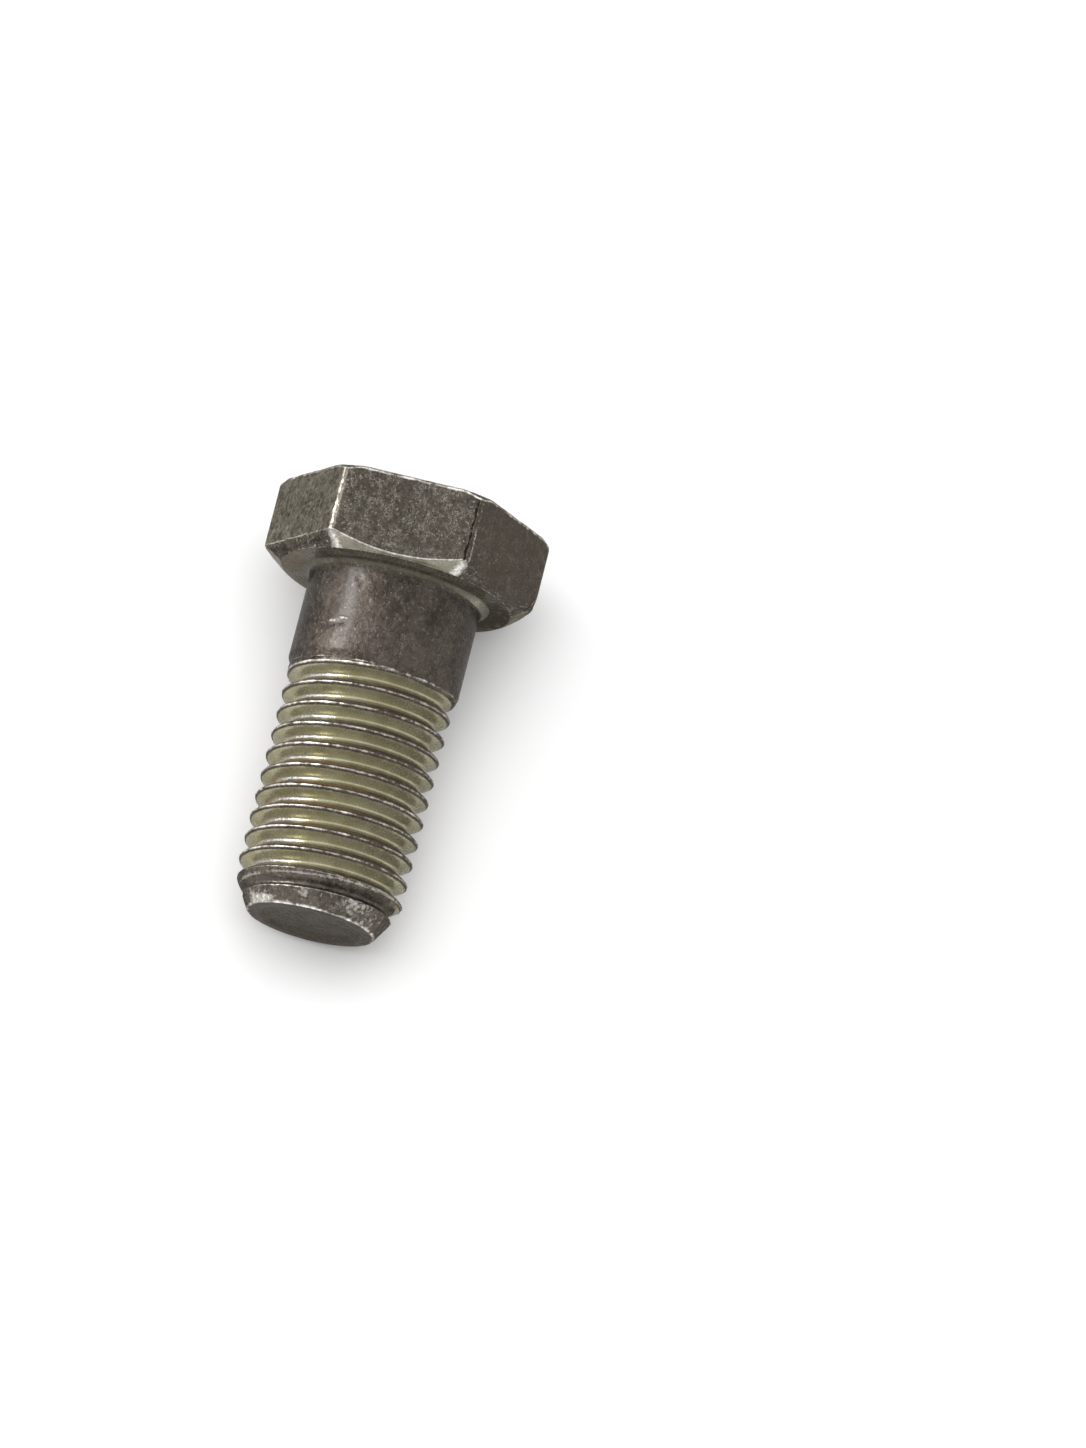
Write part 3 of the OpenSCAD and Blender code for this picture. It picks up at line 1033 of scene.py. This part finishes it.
def makeFinish(name, finish):
    material = bpy.data.materials.new(name)
    material.use_nodes = True
    tree = material.node_tree
    shader = tree.nodes["Principled BSDF"]
    shader.inputs["IOR"].default_value = layers["steelIor"]
    shader.inputs["Specular Tint"].default_value = layers["steelTint"]
    shader.inputs["Coat Weight"].default_value = finish["oil"]
    shader.inputs["Coat Roughness"].default_value = layers["oilRough"]
    shader.inputs["Coat IOR"].default_value = layers["oilIor"]
    coordinates = tree.nodes.new("ShaderNodeTexCoord")
    axes = put(tree, "ShaderNodeMapping", {
        "Vector": coordinates.outputs["Object"], "Location": tuple(boltOrigin),
        "Rotation": (0.0, math.pi / 2 + tilt, 0.0), "Scale": (0.001, 0.001, 0.001)}, vector_type="TEXTURE")
    place = axes.outputs[0]

    def mask(label):
        return put(tree, "ShaderNodeAttribute", {}, attribute_name=label).outputs["Fac"]

    def torn(label, size, ragged):
        inputs = {"Amount": mask(label), "Place": place, "Grain": size, "Ragged": ragged}
        return useGroup(tree, raggedEdge, inputs)

    skin = useGroup(tree, steelSkin, {
        "Place": place, "Dark": finish["dark"], "Middle": finish["middle"], "Pale": finish["pale"],
        "Grain": finish["grain"], "Speck": finish["speck"], "Cloud": finish["cloud"]})
    film = useGroup(tree, platingFilm, {
        "Place": place, "Deep": finish["filmDeep"], "Light": finish["filmLight"], "Grey": finish["filmGrey"]})
    coat = torn("film", 3.0, 0.45)
    wornAndHighlit = torn("wearAndHighlight", 3.6, 1.15)
    darkMark = torn("dark", 2.4, 1.0)
    stain = useGroup(tree, rustStain, {"Amount": mask("rust"), "Place": place})
    uneven = ramp(tree, grain(tree, place, 1.6), 0.25, 0.55, 0.72, 1.0)
    dirtAndShade = calc(tree, "MULTIPLY", mask("grimeAndShade"), uneven)
    dull = calc(tree, "MAXIMUM", stain["Mask"], darkMark["Mask"])

    colour = mixColour(tree, coat["Mask"], skin["Color"], film["Color"])
    # dirt and painted shade turn the colour brown
    colour = mixColour(tree, dirtAndShade, colour, grimeAndShadeBrown)
    cover = calc(tree, "MULTIPLY", stain["Mask"], layers["stainCover"])
    colour = mixColour(tree, cover, colour, stain["Color"])
    # worn metal, and painted highlights on the roots, crest beads and dent lips
    colour = mixColour(tree, wornAndHighlit["Mask"], colour, bareMetalAndHighlight)
    colour = mixColour(tree, wornAndHighlit["Core"], colour, brightMetalAndHighlight)
    # dark seams, cracks and spots, and painted shade on the dark side of dents
    colour = mixColour(tree, darkMark["Mask"], colour, darkMarkBlack)
    tree.links.new(colour, shader.inputs["Base Color"])
    satin = calc(tree, "MULTIPLY", skin["Rough"], finish["gloss"])
    rough = mixValue(tree, coat["Mask"], satin, film["Rough"])
    rough = mixValue(tree, ramp(tree, dirtAndShade, 0.7, 0.95), rough, layers["dirtAndShadeRough"])
    rough = mixValue(tree, wornAndHighlit["Mask"], rough, layers["wornAndHighlitRough"])
    rough = mixValue(tree, dull, rough, layers["stainRough"])
    tree.links.new(rough, shader.inputs["Roughness"])
    metal = mixValue(tree, coat["Mask"], finish["metal"], layers["filmMetal"])
    metal = mixValue(tree, dirtAndShade, metal, layers["dirtAndShadeMetal"])
    metal = mixValue(tree, wornAndHighlit["Mask"], metal, layers["wornAndHighlitMetal"])
    metal = mixValue(tree, dull, metal, layers["stainMetal"])
    tree.links.new(metal, shader.inputs["Metallic"])
    filmHeight = calc(tree, "MULTIPLY", film["Height"], layers["filmHeight"])
    height = mixValue(tree, coat["Mask"], skin["Height"], filmHeight)
    height = calc(tree, "MULTIPLY_ADD", wornAndHighlit["Mask"], layers["wornAndHighlitHeight"], height)
    height = calc(tree, "MULTIPLY_ADD", darkMark["Mask"], layers["darkMarkHeight"], height)
    bump = put(tree, "ShaderNodeBump", {
        "Strength": finish["bump"], "Distance": finish["relief"], "Height": height})
    tree.links.new(bump.outputs[0], shader.inputs["Normal"])
    return material


forgedSteel = makeFinish("forgedSteel", forgedFinish)
turnedSteel = makeFinish("turnedSteel", turnedFinish)
platedThread = makeFinish("platedThread", threadFinish)
print("finishes made")

# The bolt in one piece


def finishAt(middle):
    # forged as far as the fillet, turned as far as the first groove, then plated
    x, y, z = middle
    along = (math.atan2(y, x) - startAngle) / (2 * math.pi) % 1
    groove = shankShape["length"] + threadShape["pitch"] * (along + (0.5 if along < 0.15 else -0.5))
    if z < shankShape["forgedEnd"]:
        return 0
    return 1 if z < groove else 2


blankPoints, blankFaces = makeBlank(platedThread)
boltMesh = weld(blankPoints, blankFaces)
boltPoints = readPoints(boltMesh)
boltMasks, boltCrest = makeMasks(boltPoints)
for label, values in boltMasks.items():
    layer = boltMesh.attributes.new(label, "FLOAT", "POINT")
    layer.data.foreach_set("value", values.astype(np.float32))
dentBolt(boltMesh, boltPoints, boltMasks["wearAndHighlight"], boltCrest)
for finish in (forgedSteel, turnedSteel, platedThread):
    boltMesh.materials.append(finish)
for face in boltMesh.polygons:
    face.material_index = finishAt(np.mean(boltPoints[list(face.vertices)], axis=0))
boltMesh.polygons.foreach_set("use_smooth", [True] * len(boltMesh.polygons))
boltMesh.transform(lying)
bolt = bpy.data.objects.new("pivotBolt", boltMesh)
scene.collection.objects.link(bolt)
print("bolt made")

# Floor, light and camera

studio = {
    "floorReach": 3.0,
    "floorTone": 0.97,
    "ambient": 0.06,
    "overhead": 3.2,
    "overheadFocus": 4.0,
    "keyPlace": (-0.113, -0.465, 0.363),
    "keySize": 0.2,
    "keyPower": 2.7,
    "fillPlace": (-0.15, -0.9, 0.6),
    "fillSize": 0.6,
    "fillPower": 2.2,
}

floorMesh = bpy.data.meshes.new("floor")
reach = studio["floorReach"]
floorCorners = [(-reach, -reach, 0), (reach, -reach, 0), (reach, reach, 0), (-reach, reach, 0)]
floorMesh.from_pydata(floorCorners, [], [(0, 1, 2, 3)])
floor = bpy.data.objects.new("floor", floorMesh)
scene.collection.objects.link(floor)


def seenRays(tree):
    # rays that see the white background: from the camera, or through a mirror or glass
    light = tree.nodes.new("ShaderNodeLightPath").outputs
    rays = calc(tree, "MAXIMUM", light["Is Camera Ray"], light["Is Glossy Ray"])
    return calc(tree, "MAXIMUM", rays, light["Is Transmission Ray"])


floorPaint = bpy.data.materials.new("floorPaint")
floorPaint.use_nodes = True
tree = floorPaint.node_tree
tree.nodes.remove(tree.nodes["Principled BSDF"])
matt = put(tree, "ShaderNodeBsdfDiffuse", {"Color": (studio["floorTone"],) * 3 + (1,)})
tree.links.new(matt.outputs[0], tree.nodes["Material Output"].inputs["Surface"])
floorMesh.materials.append(floorPaint)

world = bpy.data.worlds.new("studio")
scene.world = world
world.use_nodes = True
tree = world.node_tree
# brightest overhead, as below a soft ceiling light, and dimmer toward the walls
facing = tree.nodes.new("ShaderNodeTexCoord").outputs["Generated"]
upward = put(tree, "ShaderNodeSeparateXYZ", {"Vector": facing}).outputs[2]
above = calc(tree, "POWER", calc(tree, "MAXIMUM", upward, 0.0), studio["overheadFocus"])
dome = calc(tree, "MULTIPLY_ADD", above, studio["overhead"], studio["ambient"])
lit = put(tree, "ShaderNodeBackground", {"Color": (1, 1, 1, 1), "Strength": dome})
seen = put(tree, "ShaderNodeBackground", {"Color": (1, 1, 1, 1), "Strength": 1.0})
blend = put(tree, "ShaderNodeMixShader", {0: seenRays(tree), 1: lit.outputs[0], 2: seen.outputs[0]})
tree.links.new(blend.outputs[0], tree.nodes["World Output"].inputs["Surface"])
tree.nodes.remove(tree.nodes["Background"])


def softBox(name):
    lamp = bpy.data.lights.new(name, "AREA")
    lamp.shape = "SQUARE"
    lamp.size = studio[name + "Size"]
    lamp.energy = studio[name + "Power"]
    box = bpy.data.objects.new(name, lamp)
    box.location = studio[name + "Place"]
    box.rotation_euler = (-Vector(studio[name + "Place"])).to_track_quat("-Z", "Y").to_euler()
    scene.collection.objects.link(box)
    return box


softBox("fill")
softBox("key").visible_diffuse = False                 # highlights only, the dome and the fill do the rest

cameraView = {
    "place": (0.367964, 0.071699, 0.931820),
    "turn": (22.009214, -1.818170, 103.643388),
    "lens": 362.7783,
}
cameraData = bpy.data.cameras.new("photoView")
cameraData.lens = cameraView["lens"]
cameraData.sensor_width = 36.0
cameraData.clip_start = 0.01
camera = bpy.data.objects.new("photoView", cameraData)
camera.location = cameraView["place"]
camera.rotation_euler = [math.radians(a) for a in cameraView["turn"]]
scene.collection.objects.link(camera)
scene.camera = camera
scene.view_settings.view_transform = "Standard"
print("studio made")

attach(bolt, "root")
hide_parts("pivot_bolt")
